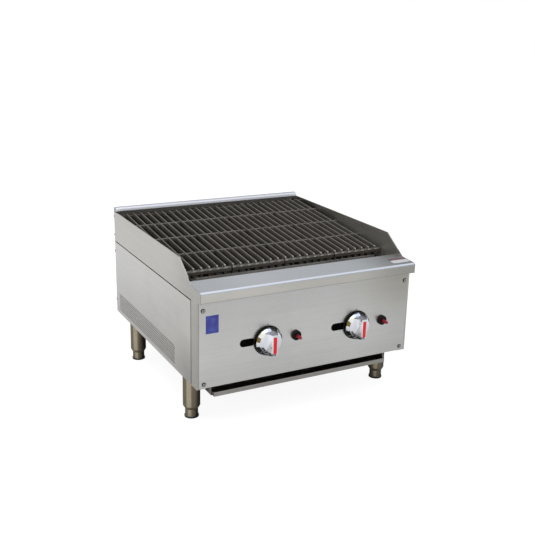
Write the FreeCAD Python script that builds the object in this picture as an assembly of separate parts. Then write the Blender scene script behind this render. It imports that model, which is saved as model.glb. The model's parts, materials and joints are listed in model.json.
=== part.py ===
import FreeCAD, Part
import math
import os

from FreeCAD import Vector

# Gas charbroiler, countertop, two burners. Millimetres. +Z up, front faces -Y, +X to the right of
# someone standing in front. The origin is on the worktop, under the middle of the overall box.

# ---------------------------------------------------------------- body
HALF_WIDTH = 305.0            # outer faces of the side sheets
REAR_Y = 317.0                # outer face of the back panel
PANEL_Y = -297.0              # front face of the control panel
BODY_Z = 113.0                # underside of the side sheets
SKIN = 1.5                    # guards, ledge and back panel sheet
SHEET = 1.2                   # lighter inner and side sheets
FRAME_SHEET = 2.0             # base rails
FIT_GAP = 0.3                 # between sheets that only lie beside each other
SCREW_HOLE_R = 2.5
SKIN_REAR_Y = REAR_Y - SKIN - 0.2
RETURN = 8.0                  # inward fold along a sheet's edge

SEAM_Z = 332.0                # lower edge of the upper side sheet
SEAM_GAP = 3.0                # shadow gap between the upper sheet and the lower side panel
POST_REAR_Y = -263.0          # rear edge of the front post of the side sheet
FLANGE = 25.0                 # the post's front flange, behind the control panel

# side guard outline above the seam, (y, z)
GUARD_REAR_Z = 419.0
GUARD_KINK = (-190.0, 416.0)
GUARD_TOE = (-262.0, 366.3)
HEM = 10.0                    # doubled edge along the guard's top
HEM_END = 0.28                # where the hem stops, as a share of the way from toe to kink

# front ledge
LEDGE_Y = -317.0
LEDGE_BOTTOM_Z = 336.0
LEDGE_FRONT_Z = 362.7
LEDGE_REAR = (-236.0, 368.0)
LEDGE_SHELF_Z = 345.0
BULLNOSE = 6.0

# back panel's top roll
ROLL_BOTTOM_Z = 421.0
ROLL_TOP_Z = 433.0
ROLL_DEPTH = 18.0
ROLL_RIGHT_X = 294.5          # the roll is cut short at its right end

# ---------------------------------------------------------------- controls
KNOB_X = (-117.2, 141.0)
KNOB_Z = 210.5
IGNITER_X = (-37.5, 222.0)
IGNITER_Z = 211.5
BUTTON_R = 4.3
SLOT_X = (-172.5, 86.5)
SLOT_Z = 213.5
SLOT_LENGTH = 41.0
SLOT_HEIGHT = 20.0
SCREW_SPOTS = ((-289.0, 312.0), (289.0, 312.0), (-287.0, 125.0), (287.0, 125.0))
KNOB_FRONT_Y = -337.0
KNOB_BASE_Y = -300.2
BEZEL_R = 38.4
SKIRT_R = 36.6
POINTER_HALF = (4.7, 21.4)    # half its width, half its height
POINTER_DEPTH = 1.5
STEM_R = 4.0
RUN_CLEARANCE = 0.05          # radial, shaft in bore

# ---------------------------------------------------------------- firebox and cooking surface
BOX_HALF = 262.0              # inner faces of the firebox side walls
BOX_FRONT_Y = -188.0
BOX_REAR_Y = 300.0
BASE_Z = 115.0                # underside of the base rails
BASE_HEIGHT = 15.0

GRATE_COUNT = 4
GRATE_PITCH = 151.6           # the castings lie loose, a few millimetres apart
FIRST_RIB_X = -298.0          # middle of the row's leftmost rib
RIB_COUNT = 7
RIB_PITCH = 21.45
RIB_LENGTH = 450.0
RIB_DEPTH = 28.0
RIB_TOP = 2.1                 # half the rib's thickness along its top
RIB_BOTTOM = 3.3              # and along its bottom
WEB_REACH = (-3.2, 144.9)     # cross members, from the middle of a casting's first rib
GRATE_SLOPE = 5.5             # degrees, rising to the rear
GRATE_TIP = (-158.0, 373.3)   # (y, z) of the ribs' top front end
CROSSBARS = (104.5, 226.0, 344.0)
CROSSBAR_HALF = 2.3           # half a crossbar at its narrowest, midway between two ribs

BURNER_X = (-205.0, -72.0, 72.0, 205.0)
BURNER_Z = 210.5
BURNER_R = 19.0
RADIANT_REST_Z = 283.0

# ---------------------------------------------------------------- gas train
PIPE_R = 13.335               # 3/4 inch pipe, outside
PIPE_BORE = 10.5
THREAD_R = 13.1               # outside of the inlet's thread
PIPE_Y = -250.0
PIPE_Z = 172.0
PIPE_SIDE_X = 283.0
INLET_Y = 337.0
PILOT_X = (-172.5, 101.0)
ELECTRODE_X = (-158.0, 114.0)
PILOT_Y = -172.0
PILOT_Z = 196.0

# ---------------------------------------------------------------- drip tray and legs
TRAY_HALF = 253.0
TRAY_FRONT_Y = -277.0
TRAY_REAR_Y = 290.0
TRAY_FLOOR_Z = 79.4
TRAY_RIM_Z = 90.0
LEG_X = 281.0
LEG_Y = (-205.0, 199.0)
LEG_R = 22.0
LEG_END_Z = 24.0              # underside of the leg tube
FOOT_R = 16.5
FOOT_STEM_R = 12.0


# ================================================================ helpers
def to_space(plane, level, point):
    """Point (a, b) of a plane that stands at the given level along its normal axis."""
    a, b = point
    if plane == "x":
        return Vector(level, a, b)
    if plane == "y":
        return Vector(a, level, b)
    return Vector(a, b, level)


def direction(start, end):
    length = math.hypot(end[0] - start[0], end[1] - start[1])
    return (end[0] - start[0]) / length, (end[1] - start[1]) / length


def loop_wire(plane, level, points, radii):
    """Closed outline through the points, each corner rounded by its radius."""
    count = len(points)
    corners = []
    for i, point in enumerate(points):
        before = direction(points[i - 1], point)
        after = direction(point, points[(i + 1) % count])
        cross = before[0] * after[1] - before[1] * after[0]
        dot = before[0] * after[0] + before[1] * after[1]
        if radii[i] <= 0 or abs(cross) < 1e-6:
            corners.append((point, None, point))
            continue
        reach = radii[i] * math.tan(abs(math.atan2(cross, dot)) / 2)
        start = (point[0] - before[0] * reach, point[1] - before[1] * reach)
        end = (point[0] + after[0] * reach, point[1] + after[1] * reach)
        side = math.copysign(radii[i], cross)
        centre = (start[0] - before[1] * side, start[1] + before[0] * side)
        out = direction(centre, point)
        middle = (centre[0] + out[0] * radii[i], centre[1] + out[1] * radii[i])
        corners.append((start, middle, end))
    edges = []
    for i, (start, middle, end) in enumerate(corners):
        if middle:
            ends = [to_space(plane, level, p) for p in (start, middle, end)]
            edges.append(Part.Arc(*ends).toShape())
        following = corners[(i + 1) % count][0]
        if math.hypot(end[0] - following[0], end[1] - following[1]) > 1e-6:
            a, b = to_space(plane, level, end), to_space(plane, level, following)
            edges.append(Part.LineSegment(a, b).toShape())
    return Part.Wire(edges)


def normal_of(plane):
    return {"x": Vector(1, 0, 0), "y": Vector(0, 1, 0), "z": Vector(0, 0, 1)}[plane]


def prism(plane, low, high, points, radii=None, holes=()):
    """Solid between two levels along an axis; holes are wires at the low level."""
    outline = loop_wire(plane, low, points, radii or [0] * len(points))
    if holes:
        face = Part.makeFace([outline, *holes], "Part::FaceMakerBullseye")
    else:
        face = Part.Face(outline)
    return face.extrude(normal_of(plane) * (high - low))


def circle_wire(plane, level, centre, radius):
    circle = Part.Circle(to_space(plane, level, centre), normal_of(plane), radius)
    return Part.Wire([circle.toShape()])


def slot_wire(plane, level, centre, length, height):
    a, b = centre
    x, z = length / 2, height / 2
    points = [(a - x, b - z), (a + x, b - z), (a + x, b + z), (a - x, b + z)]
    return loop_wire(plane, level, points, [z - 0.001] * 4)


def offset_path(path, distance):
    """The open path moved to its right by the distance, with mitred corners."""
    normals = []
    for start, end in zip(path, path[1:]):
        along = direction(start, end)
        normals.append((along[1], -along[0]))
    moved = []
    for i, point in enumerate(path):
        first = normals[max(i - 1, 0)]
        second = normals[min(i, len(normals) - 1)]
        share = distance / (1 + first[0] * second[0] + first[1] * second[1])
        moved.append((point[0] + (first[0] + second[0]) * share, point[1] + (first[1] + second[1]) * share))
    return moved


def folded(plane, low, high, path, thickness, bends=None):
    """Sheet folded along the path, its thickness to the path's right; bends are inner radii."""
    bends = bends or [1.0] * (len(path) - 2)
    inner = offset_path(path, thickness)
    near, far = [0.0], [0.0]
    for i, bend in enumerate(bends):
        before = direction(path[i], path[i + 1])
        after = direction(path[i + 1], path[i + 2])
        right_turn = before[0] * after[1] - before[1] * after[0] < 0
        near.append(bend + thickness if right_turn else bend)
        far.append(bend if right_turn else bend + thickness)
    near.append(0.0)
    far.append(0.0)
    return prism(plane, low, high, path + inner[::-1], near + far[::-1])


def box(x, y, z):
    return Part.makeBox(x[1] - x[0], y[1] - y[0], z[1] - z[0], Vector(x[0], y[0], z[0]))


def rod(start, end, radius):
    start, end = Vector(*start), Vector(*end)
    return Part.makeCylinder(radius, (end - start).Length, start, end - start)


def turned(profile, base, axis):
    """Solid of revolution of (radius, height) points; heights run along the axis from the base."""
    points = [Vector(r, 0, h) for r, h in profile]
    face = Part.Face(Part.makePolygon(points + points[:1]))
    solid = face.revolve(Vector(0, 0, 0), Vector(0, 0, 1), 360)
    turn = FreeCAD.Rotation(Vector(0, 0, 1), Vector(*axis))
    solid.Placement = FreeCAD.Placement(Vector(*base), turn)
    return solid


def joined(first, *others):
    return first.multiFuse(list(others)).removeSplitter()


def mirrored(shape):
    return shape.mirror(Vector(0, 0, 0), Vector(1, 0, 0))


def pipe_run(points, bend, radius, bore=0.0):
    """Round tube along straight runs joined by tangent arcs of the given radius."""
    points = [Vector(*p) for p in points]
    edges = []
    here = points[0]
    for before, corner, after in zip(points, points[1:], points[2:]):
        inward = (before - corner).normalize()
        onward = (after - corner).normalize()
        half = inward.getAngle(onward) / 2
        start = corner + inward * (bend / math.tan(half))
        end = corner + onward * (bend / math.tan(half))
        bisector = (inward + onward).normalize()
        middle = corner + bisector * (bend / math.sin(half) - bend)
        edges.append(Part.LineSegment(here, start).toShape())
        edges.append(Part.Arc(start, middle, end).toShape())
        here = end
    edges.append(Part.LineSegment(here, points[-1]).toShape())
    path = Part.Wire(edges)
    along = (points[1] - points[0]).normalize()

    def sweep(r):
        section = Part.Wire([Part.Circle(points[0], along, r).toShape()])
        return path.makePipeShell([section], True, False)

    return sweep(radius).cut(sweep(bore)) if bore else sweep(radius)


# ================================================================ casing
def left_side_guard():
    """Upper side sheet and front post in one: it closes the ledge's end and guards the grates."""
    x = -HALF_WIDTH
    post_y = PANEL_Y + SKIN
    outline = [(SKIN_REAR_Y, SEAM_Z), (SKIN_REAR_Y, GUARD_REAR_Z), GUARD_KINK, GUARD_TOE,
               (LEDGE_Y + 0.3, LEDGE_FRONT_Z), (LEDGE_Y + 0.3, LEDGE_BOTTOM_Z),
               (post_y, LEDGE_BOTTOM_Z), (post_y, BODY_Z), (POST_REAR_Y, BODY_Z), (POST_REAR_Y, SEAM_Z)]
    radii = [0, 3, 3, 3, BULLNOSE, 0, 0, 0, 0, 0]
    skin = prism("x", x, x + SKIN, outline, radii)
    rise = [HEM_END * (kink - toe) for kink, toe in zip(GUARD_KINK, GUARD_TOE)]
    top = [(SKIN_REAR_Y, GUARD_REAR_Z), GUARD_KINK, (GUARD_TOE[0] + rise[0], GUARD_TOE[1] + rise[1])]
    hem = prism("x", x + SKIN, x + 2 * SKIN, top + offset_path(top, -HEM)[::-1])
    front = prism("y", post_y, post_y + SKIN, [(x, BODY_Z), (x + FLANGE, BODY_Z),
                  (x + FLANGE, LEDGE_BOTTOM_Z), (x, LEDGE_BOTTOM_Z)],
                  holes=[circle_wire("y", post_y, spot, SCREW_HOLE_R) for spot in SCREW_SPOTS if spot[0] < 0])
    rear = box((x, x + 18), (SKIN_REAR_Y - SKIN, SKIN_REAR_Y), (SEAM_Z, GUARD_REAR_Z))
    under = box((x, x + RETURN), (POST_REAR_Y, SKIN_REAR_Y), (SEAM_Z, SEAM_Z + SKIN))
    behind = box((x, x + RETURN), (POST_REAR_Y - SKIN, POST_REAR_Y), (BODY_Z, SEAM_Z + SKIN))
    return joined(skin, hem, front, rear, under, behind).cut(rear_screw_holes())


def left_side_panel():
    """Lower side panel with its field of cooling holes, edges folded inward."""
    x = -HALF_WIDTH
    y0, y1 = POST_REAR_Y + SEAM_GAP, SKIN_REAR_Y
    z1 = SEAM_Z - SEAM_GAP
    hole_r, pitch = 2.25, 7.5
    field_y, field_z = (-155.0, 290.0), (126.0, 178.0)
    row_step = pitch * math.sqrt(3) / 2
    holes = []
    for row in range(int((field_z[1] - field_z[0] - 2 * hole_r) / row_step) + 1):
        shift = pitch / 2 if row % 2 else 0.0
        for column in range(int((field_y[1] - field_y[0] - 2 * hole_r - shift) / pitch) + 1):
            centre = (field_y[0] + hole_r + shift + column * pitch, field_z[0] + hole_r + row * row_step)
            holes.append(circle_wire("x", x, centre, hole_r))
    outline = [(y0, BODY_Z), (y1, BODY_Z), (y1, z1), (y0, z1)]
    plate = prism("x", x, x + SHEET, outline, holes=holes)
    folds = [box((x, x + RETURN), (y0, y1), (z1 - SHEET, z1)),
             box((x, x + RETURN), (y0, y1), (BODY_Z, BODY_Z + SHEET)),
             box((x, x + RETURN), (y0, y0 + SHEET), (BODY_Z, z1)),
             box((x, x + RETURN), (y1 - SHEET, y1), (BODY_Z, z1))]
    return joined(plate, *folds).cut(rear_screw_holes())


def back_panel():
    """Rear sheet, rolled forward along its top into a stiff box edge."""
    half = HALF_WIDTH - 0.2
    roll_front = REAR_Y - ROLL_DEPTH
    path = [(REAR_Y, BODY_Z + 2), (REAR_Y, ROLL_TOP_Z), (roll_front, ROLL_TOP_Z),
            (roll_front, ROLL_BOTTOM_Z), (roll_front + 8, ROLL_BOTTOM_Z)]
    sheet = folded("x", -half, half, path[::-1], SKIN, [1.0, 4.0, 2.0])
    notch = box((ROLL_RIGHT_X, half + 1), (roll_front - 1, REAR_Y + 1), (ROLL_BOTTOM_Z - 1.5, ROLL_TOP_Z + 1))
    hole = rod((PIPE_SIDE_X, REAR_Y - 5, PIPE_Z), (PIPE_SIDE_X, REAR_Y + 5, PIPE_Z), PIPE_R + 1.5)
    return sheet.cut(Part.makeCompound([notch, hole, rear_screw_holes()]))


def rear_screw_spots():
    return [(side * 300.5, z) for side in (-1, 1) for z in (150.0, 300.0, 350.0, 405.0)]


def rear_screw_holes():
    holes = [rod((x, REAR_Y - 5, z), (x, REAR_Y + 5, z), SCREW_HOLE_R) for x, z in rear_screw_spots()]
    return Part.makeCompound(holes)


def control_panel():
    """Front panel with holes for two stems, two igniters, two lighting slots and four screws."""
    half = HALF_WIDTH - 5.5
    z0, z1 = BODY_Z + 2, LEDGE_BOTTOM_Z - 2
    outline = [(-half, z0), (half, z0), (half, z1), (-half, z1)]
    holes = [circle_wire("y", PANEL_Y, (x, KNOB_Z), 7.0) for x in KNOB_X]
    holes += [circle_wire("y", PANEL_Y, (x, IGNITER_Z), 9.2) for x in IGNITER_X]
    holes += [slot_wire("y", PANEL_Y, (x, SLOT_Z), SLOT_LENGTH, SLOT_HEIGHT) for x in SLOT_X]
    holes += [circle_wire("y", PANEL_Y, spot, SCREW_HOLE_R) for spot in SCREW_SPOTS]
    plate = prism("y", PANEL_Y, PANEL_Y + SHEET, outline, holes=holes)
    fold_half = HALF_WIDTH - FLANGE - 2
    bottom = box((-fold_half, fold_half), (PANEL_Y, PANEL_Y + 15), (z0, z0 + SHEET))
    top = box((-fold_half, fold_half), (PANEL_Y, PANEL_Y + 12), (z1 - SHEET, z1))
    return joined(plate, bottom, top)


def front_ledge():
    """Plate rest along the front: bullnosed sheet, turned under in front; at the rear it steps
    down and runs back to the grate support, which shields the valves from above."""
    half = HALF_WIDTH - SKIN - FIT_GAP
    path = [(PANEL_Y - 2, LEDGE_BOTTOM_Z), (LEDGE_Y, LEDGE_BOTTOM_Z), (LEDGE_Y, LEDGE_FRONT_Z),
            LEDGE_REAR, (LEDGE_REAR[0], LEDGE_SHELF_Z), (-192.0, LEDGE_SHELF_Z)]
    return folded("x", -half, half, path, SKIN, [1.0, BULLNOSE - SKIN, 1.0, 1.0])


def casing_screws():
    """Pan head screws of the control panel and the back panel."""
    grip = 12.0
    head = [(0, 0), (2.2, 0), (2.2, grip), (5.6, grip), (5.6, grip + 0.9), (4.0, grip + 2.4), (0, grip + 2.7)]
    slot_depth, slot_reach, slot_half = 0.9, 3.0, 0.5
    screws = []
    spots = [((x, PANEL_Y + grip, z), (0, -1, 0)) for x, z in SCREW_SPOTS]
    spots += [((x, REAR_Y - grip, z), (0, 1, 0)) for x, z in rear_screw_spots()]
    for base, axis in spots:
        x, y, z = base
        top = y + axis[1] * (head[-1][1] - slot_depth)
        span = sorted((top, top + axis[1] * 2))
        cross = [box((x - a, x + a), span, (z - b, z + b)) for a, b in
                 ((slot_reach, slot_half), (slot_half, slot_reach))]
        screws.append(turned(head, base, axis).cut(Part.makeCompound(cross)))
    return Part.makeCompound(screws)


# ================================================================ base
def left_base_rail():
    """Side channel of the base frame, open upward; the legs bolt through it."""
    x0, x1 = -HALF_WIDTH + 3, -250.0
    z1 = BASE_Z + BASE_HEIGHT
    path = [(x1, z1), (x1, BASE_Z), (x0, BASE_Z), (x0, z1)]
    rail = folded("y", -258.0, 283.0, path, FRAME_SHEET)
    holes = [rod((-LEG_X, y, BASE_Z - 5), (-LEG_X, y, BASE_Z + 8), 5.3) for y in LEG_Y]
    return rail.cut(Part.makeCompound(holes))


def front_base_rail():
    z1 = BASE_Z + BASE_HEIGHT
    path = [(-281.0, z1), (-281.0, BASE_Z + 2), (-258.0, BASE_Z + 2)]
    return folded("x", -296.0, 296.0, path[::-1], FRAME_SHEET)


def rear_base_rail():
    z1 = BASE_Z + BASE_HEIGHT
    path = [(283.0, z1), (283.0, BASE_Z), (313.0, BASE_Z), (313.0, z1)]
    half = BOX_HALF - FIT_GAP
    return folded("x", -half, half, path[::-1], FRAME_SHEET)


def leg_barrel(x, y):
    """Leg tube with a chamfered lower end, a bore for the foot and a stud into the base rail."""
    bore = FOOT_STEM_R + RUN_CLEARANCE
    top = BODY_Z - 0.5
    stud_top, bore_top = 129.0, 86.0
    profile = [(bore, LEG_END_Z), (17.5, LEG_END_Z), (LEG_R, LEG_END_Z + 8), (LEG_R, top - 1),
               (LEG_R - 1, top), (14, top), (14, BASE_Z), (5, BASE_Z), (5, stud_top), (0, stud_top),
               (0, bore_top), (bore, bore_top)]
    return turned(profile, (x, y, 0), (0, 0, 1))


def foot(x, y):
    """Levelling foot: knurled collar, a wider toe and a stem that runs in the leg."""
    top = LEG_END_Z - 0.4
    stem_top = 82.0
    profile = [(0, 0), (FOOT_R, 0), (FOOT_R + 1, 1), (FOOT_R + 1, 4), (FOOT_R, 5), (FOOT_R, top - 0.6),
               (FOOT_R - 0.6, top), (FOOT_STEM_R, top), (FOOT_STEM_R, stem_top - 1),
               (FOOT_STEM_R - 1, stem_top), (0, stem_top)]
    return turned(profile, (x, y, 0), (0, 0, 1))


# ================================================================ firebox
def firebox_front_wall():
    """Inner front wall: venturi holes, lighting slots, pilot and lead holes, radiant shelf."""
    y = BOX_FRONT_Y
    outline = [(-BOX_HALF, 131.0), (BOX_HALF, 131.0), (BOX_HALF, 342.0), (-BOX_HALF, 342.0)]
    holes = [circle_wire("y", y, (x, BURNER_Z), 16.0) for x in KNOB_X]
    holes += [slot_wire("y", y, (x, SLOT_Z + 19), 30.0, 12.0) for x in SLOT_X]
    holes += [circle_wire("y", y, (x, PIPE_Z), 3.2) for x in PILOT_X]
    holes += [circle_wire("y", y, (x, 184.0), 2.2) for x in ELECTRODE_X]
    plate = prism("y", y, y + SHEET, outline, holes=holes)
    shelf = box((-BOX_HALF, BOX_HALF), (y, y + 40), (RADIANT_REST_Z - SKIN, RADIANT_REST_Z))
    return joined(plate, shelf)


def firebox_rear_wall():
    """Inner rear wall with a shelf for the radiants and one for the burners."""
    y = BOX_REAR_Y
    plate = box((-BOX_HALF, BOX_HALF), (y, y + SHEET), (131.0, 410.0))
    rest = box((-BOX_HALF, BOX_HALF), (y - 38, y), (RADIANT_REST_Z - SKIN, RADIANT_REST_Z))
    burner_z = BURNER_Z - BURNER_R
    shelf = box((-BOX_HALF, BOX_HALF), (y - 50, y), (burner_z - SKIN, burner_z))
    return joined(plate, rest, shelf)


def firebox_left_wall():
    """Inner side wall, turned outward along its top below the grates."""
    path = [(-BOX_HALF, BASE_Z + 2), (-BOX_HALF, 322.0), (-HALF_WIDTH + 3, 322.0)]
    return folded("y", BOX_FRONT_Y, BOX_REAR_Y + SHEET, path[::-1], SHEET)


def front_grate_support():
    """Angle under the grates' front ends, with a low lip in front of them."""
    seat = GRATE_TIP[1] - RIB_DEPTH - 0.6
    path = [(-190.0, seat + 12), (-190.0, seat - FRAME_SHEET), (-150.0, seat - FRAME_SHEET)]
    return folded("x", -BOX_HALF, BOX_HALF, path[::-1], FRAME_SHEET)


def rear_grate_support():
    """Angle on the rear wall under the grates' rear ends."""
    seat = 386.2
    path = [(BOX_REAR_Y, 362.0), (BOX_REAR_Y, seat), (272.0, seat)]
    return folded("x", -BOX_HALF, BOX_HALF, path[::-1], FRAME_SHEET)


def radiant(x):
    """Inverted trough over one burner tube, which spreads the heat."""
    z = RADIANT_REST_Z + 1.2
    path = [(x - 50, z), (x - 46, z + 6), (x - 9, z + 36), (x + 9, z + 36), (x + 46, z + 6), (x + 50, z)]
    return folded("y", -160.0, 285.0, path, FRAME_SHEET, [2.0, 3.0, 3.0, 2.0])


# ================================================================ grates
def grate_rib():
    """One wedge rib in the casting's own frame: a along the rib, b up from its top edge."""
    foot_reach = -5.0
    side = [(0, 0), (RIB_LENGTH, 0), (RIB_LENGTH, -RIB_DEPTH), (foot_reach, -RIB_DEPTH), (foot_reach, -8)]
    outline = prism("x", -8.0, 8.0, side, [6, 7, 3, 2, 2])
    section = [(-RIB_BOTTOM, -RIB_DEPTH), (RIB_BOTTOM, -RIB_DEPTH), (RIB_TOP, 0), (-RIB_TOP, 0)]
    blade = outline.common(prism("y", foot_reach - 1, RIB_LENGTH + 1, section, [1, 1, 1.8, 1.8]))
    nose_r = 3.3
    return blade.fuse(Part.makeSphere(nose_r, Vector(0, nose_r + 0.2, -nose_r - 0.1)))


def grate_gap(x, start, end):
    """The tapering opening beside a rib, between two cross members, with rounded ends."""
    top, low = 1.0, -20.0
    overlap = 0.3

    def radius(b):
        rib_half = RIB_TOP - (RIB_BOTTOM - RIB_TOP) * b / RIB_DEPTH
        return RIB_PITCH / 2 - rib_half + overlap

    wide, narrow = radius(top), radius(low)
    centres = (start + wide, end - wide)
    ends = [Part.makeCone(narrow, wide, top - low, Vector(x, a, low)) for a in centres]
    section = [(x - narrow, low), (x + narrow, low), (x + wide, top), (x - wide, top)]
    return ends[0].multiFuse([ends[1], prism("y", *centres, section)])


def grate_casting():
    """Cast grate: seven ribs tied by a front bar, three crossbars and a rear bar, all scalloped."""
    front_bar = [(-7, -7), (14, -7), (14, -18), (-7, -18)]
    rear_bar = [(RIB_LENGTH - 14, -7), (RIB_LENGTH + 5, -7), (RIB_LENGTH + 5, -18), (RIB_LENGTH - 14, -18)]
    webs = [prism("x", *WEB_REACH, front_bar, [3, 0, 0, 2]), prism("x", *WEB_REACH, rear_bar, [0, 3, 2, 0])]
    for a in CROSSBARS:
        webs.append(box(WEB_REACH, (a - 13, a + 13), (-15, -2.5)))
    bounds = [2.0, *(a + side * CROSSBAR_HALF for a in CROSSBARS for side in (-1, 1)), RIB_LENGTH - 3]
    gaps = []
    for start, end in zip(bounds[::2], bounds[1::2]):
        gaps += [grate_gap((i + 0.5) * RIB_PITCH, start, end) for i in range(RIB_COUNT)]
    webs = Part.makeCompound(webs).cut(Part.makeCompound(gaps))
    rib = grate_rib()
    ribs = [rib.translated(Vector(i * RIB_PITCH, 0, 0)) for i in range(RIB_COUNT)]
    casting = ribs[0].multiFuse([*ribs[1:], *webs.Solids])
    casting.rotate(Vector(0, 0, 0), Vector(1, 0, 0), GRATE_SLOPE)
    return casting.translated(Vector(FIRST_RIB_X, GRATE_TIP[0], GRATE_TIP[1]))


# ================================================================ gas train
def burner(left, right, inlet):
    """Two ported tubes joined by a front crossover, fed by a venturi with a bell mouth."""
    y0, y1 = -140.0, 264.0
    wall = 1.5

    def body(grow, reach):
        r = BURNER_R - grow
        tubes = [rod((x, y0, BURNER_Z), (x, y1 - reach, BURNER_Z), r) for x in (left, right)]
        cross = rod((left, y0, BURNER_Z), (right, y0, BURNER_Z), r)
        caps = [Part.makeSphere(r, Vector(x, y0, BURNER_Z)) for x in (left, right)]
        throat = rod((inlet, -214.0, BURNER_Z), (inlet, y0, BURNER_Z), 15.0 - grow)
        return tubes[0].multiFuse([tubes[1], cross, throat, *caps])

    flare = [(15.0, 0), (21.0, -6), (21.0, -8), (13.5, -8), (13.5, 0)]
    bell = turned(flare, (inlet, -211.0, BURNER_Z), (0, 1, 0))
    shell = body(0.0, 0.0).fuse(bell).cut(body(wall, wall))
    shell = shell.cut(rod((inlet, -225.0, BURNER_Z), (inlet, -200.0, BURNER_Z), 15.0 - wall))
    ports = []
    pitch, count, width = 18.0, 20, 1.6
    crown = BURNER_Z + BURNER_R
    for x in (left, right):
        for i in range(count):
            y = y0 + 30 + i * pitch
            ports.append(box((x - 12, x + 12), (y, y + width), (crown - 6, crown + 1)))
    return shell.cut(Part.makeCompound(ports))


def manifold_pipe():
    """Gas pipe behind the control panel, capped at its left end, tapped for valves and pilots."""
    left, right = -192.0, 243.0
    pipe = rod((left, PIPE_Y, PIPE_Z), (right, PIPE_Y, PIPE_Z), PIPE_R)
    cap = rod((left - 10, PIPE_Y, PIPE_Z), (left + 14, PIPE_Y, PIPE_Z), PIPE_R + 3)
    hollow = rod((left + 2, PIPE_Y, PIPE_Z), (right, PIPE_Y, PIPE_Z), PIPE_BORE)
    taps = [rod((x, PIPE_Y, PIPE_Z), (x, PIPE_Y, PIPE_Z + 20), 8.05) for x in KNOB_X]
    taps += [rod((x, PIPE_Y, PIPE_Z), (x, PIPE_Y + 20, PIPE_Z), 2.55) for x in PILOT_X]
    return pipe.fuse(cap).cut(Part.makeCompound([hollow, *taps]))


def gas_supply_pipe():
    """Pipe from the manifold's right end, round the corner and out through the back."""
    start = 243.0
    run = pipe_run([(start, PIPE_Y, PIPE_Z), (PIPE_SIDE_X, PIPE_Y, PIPE_Z), (PIPE_SIDE_X, INLET_Y, PIPE_Z)],
                   25.0, PIPE_R, PIPE_BORE)
    collar = rod((start - 12, PIPE_Y, PIPE_Z), (start + 12, PIPE_Y, PIPE_Z), PIPE_R + 4)
    sleeve = rod((start - 12, PIPE_Y, PIPE_Z), (start, PIPE_Y, PIPE_Z), PIPE_R + RUN_CLEARANCE)
    inner = rod((start, PIPE_Y, PIPE_Z), (start + 12, PIPE_Y, PIPE_Z), PIPE_R - 0.5)
    inlet = [(PIPE_SIDE_X, y, PIPE_Z) for y in (REAR_Y, INLET_Y)]
    thread = rod(*inlet, PIPE_R + 1).cut(rod(*inlet, THREAD_R))
    return run.fuse(collar.cut(sleeve.fuse(inner))).cut(thread)


def gas_valve(x):
    """Brass valve on the manifold: body, bonnet with the stem's bore, outlet boss."""
    body = [(x - 15, 196.0), (x + 15, 196.0), (x + 15, 225.0), (x - 15, 225.0)]
    block = prism("y", -264.0, -236.0, body, [3, 3, 6, 6])
    bonnet = rod((x, -274.0, KNOB_Z), (x, -264.0, KNOB_Z), 12.0)
    outlet = rod((x, -236.0, KNOB_Z), (x, -231.0, KNOB_Z), 9.0)
    tail = rod((x, PIPE_Y, 179.0), (x, PIPE_Y, 196.0), 8.0)
    bore = rod((x, -280.0, KNOB_Z), (x, -250.0, KNOB_Z), STEM_R + RUN_CLEARANCE)
    gas_way = rod((x, -245.0, KNOB_Z), (x, -230.0, KNOB_Z), 3.0)
    return joined(block, bonnet, outlet, tail).cut(bore.fuse(gas_way))


def main_orifices():
    """Brass jets screwed to the valve outlets, one per burner."""
    jets = []
    for x in KNOB_X:
        profile = [(1.0, 0), (8.0, 0), (8.0, 6), (5.0, 8), (5.0, 12), (3.5, 14), (1.0, 14)]
        jets.append(turned(profile, (x, -231.0, BURNER_Z), (0, 1, 0)))
    return Part.makeCompound(jets)


def pilot_burner(x, electrode_x):
    """Pilot on a bracket from the firebox front wall; the bracket also holds the electrode."""
    y, z = PILOT_Y, PILOT_Z
    profile = [(2.6, 0), (5.0, 0), (5.0, 22), (3.5, 26), (0, 26), (0, 4), (2.6, 4)]
    tip = turned(profile, (x, y, z), (0, 0, 1))
    low, high = min(x, electrode_x) - 8, max(x, electrode_x) + 8
    plate = box((low, high), (BOX_FRONT_Y + SHEET, y + 8), (z + 4, z + 6))
    clear = rod((electrode_x, y, z), (electrode_x, y, z + 20), 3.1)
    return joined(tip, plate).cut(clear)


def pilot_gas_tubes():
    """Thin gas tubes from the manifold through the front wall to the pilots."""
    tubes = []
    for x in PILOT_X:
        start_y = PIPE_Y + PIPE_R - 2
        points = [(x, start_y, PIPE_Z), (x, PILOT_Y, PIPE_Z), (x, PILOT_Y, PILOT_Z + 4)]
        tubes.append(pipe_run(points, 14.0, 2.5, 1.6))
    return Part.makeCompound(tubes)


def spark_electrodes():
    """Ceramic rods with a wire tip that leans over the pilot."""
    rods = []
    for x, pilot_x in zip(ELECTRODE_X, PILOT_X):
        base = (x, PILOT_Y, PILOT_Z - 2)
        ceramic = turned([(0, 0), (3.0, 0), (3.0, 24), (2.0, 28), (0, 28)], base, (0, 0, 1))
        side = math.copysign(1.0, pilot_x - x)
        top = PILOT_Z + 25
        path = [(x, PILOT_Y, top), (x, PILOT_Y, top + 9), (x + side * 8, PILOT_Y, top + 9)]
        rods.append(ceramic.fuse(pipe_run(path, 4.0, 0.8)))
    return Part.makeCompound(rods)


def ignition_leads():
    """Spark leads, held from the igniter's rear terminal over the venturi to the electrode."""
    leads = []
    for x, electrode_x in zip(IGNITER_X, ELECTRODE_X):
        points = [(x, -252.0, IGNITER_Z), (x, -206.0, IGNITER_Z), (x, -206.0, 246.0),
                  (electrode_x, -206.0, 246.0), (electrode_x, -206.0, 184.0),
                  (electrode_x, PILOT_Y, 184.0), (electrode_x, PILOT_Y, PILOT_Z - 2)]
        leads.append(pipe_run(points, 5.0, 1.5))
    return Part.makeCompound(leads)


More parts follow.
